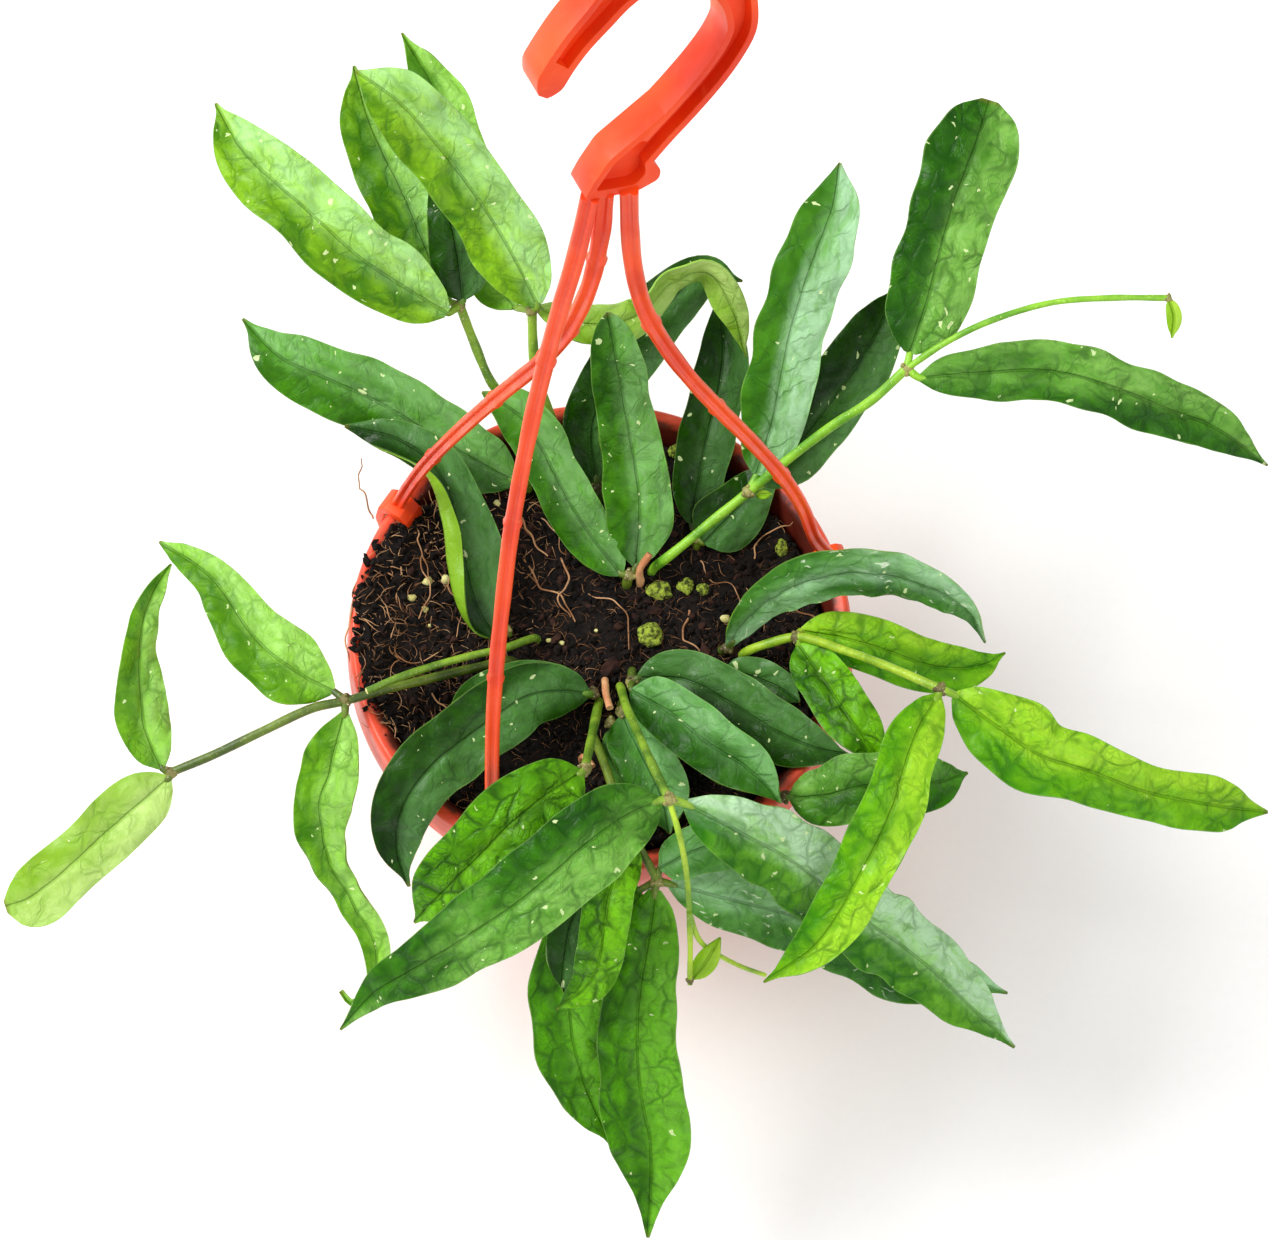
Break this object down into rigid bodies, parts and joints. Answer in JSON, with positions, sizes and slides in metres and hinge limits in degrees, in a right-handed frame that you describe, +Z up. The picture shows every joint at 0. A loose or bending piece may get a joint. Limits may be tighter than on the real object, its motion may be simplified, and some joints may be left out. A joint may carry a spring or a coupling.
{
  "type": "potted trailing plant in a hanging pot",
  "caption": "Round plastic hanging pot with a rim-clipped strap hanger and hook, holding soil and a wax plant with long leathery leaves on trailing stems.",
  "frame": {"origin": "centre of the pot's foot, on the surface it stands on", "axes": "+Z up along the pot's axis; -Y towards the camera's side, +X to its right"},
  "size_m": [0.3793, 0.352, 0.418],
  "materials": {
    "pot_plastic": "satin coral moulded plastic",
    "hanger_plastic": "satin coral moulded plastic",
    "soil": "dark peat with fibres, roots and grains",
    "leaf": "waxy green leaf with darker veins and pale flecks",
    "stem": "green stem",
    "dry_stem": "dry tan stem",
    "pumice": "pitted, tinted green"
  },
  "bodies": {
    "root": {"pot": "pot_plastic", "soil": "soil", "hanger_hook": "hanger_plastic", "hanger_strap_right": "hanger_plastic", "hanger_strap_left": "hanger_plastic", "hanger_strap_front": "hanger_plastic", "stem_back_left": "leaf", "stem_back_middle": "leaf", "leaf_back_long": "leaf", "leaves_centre": "leaf", "leaves_back_right": "leaf", "stem_right": "leaf", "leaf_right_arch": "leaf", "stem_lower_right": "leaf", "leaves_front_right": "leaf", "leaf_under_right": "leaf", "leaf_front_far_right": "leaf", "stem_front": "leaf", "leaf_front_left": "leaf", "leaves_left_low": "leaf", "leaf_under_front_left": "leaf", "leaf_under_front": "leaf", "stem_front_hanging": "leaf", "stem_left": "leaf", "leaf_left": "leaf", "leaf_left_twisted": "leaf", "cut_stem": "stem", "dry_stub_centre": "dry_stem", "dry_stub_front": "dry_stem", "dry_stub_low": "dry_stem", "pumice_1": "pumice", "pumice_2": "pumice", "pumice_3": "pumice", "pumice_4": "pumice", "pumice_5": "pumice", "pumice_6": "pumice"}
  },
  "joints": []
}
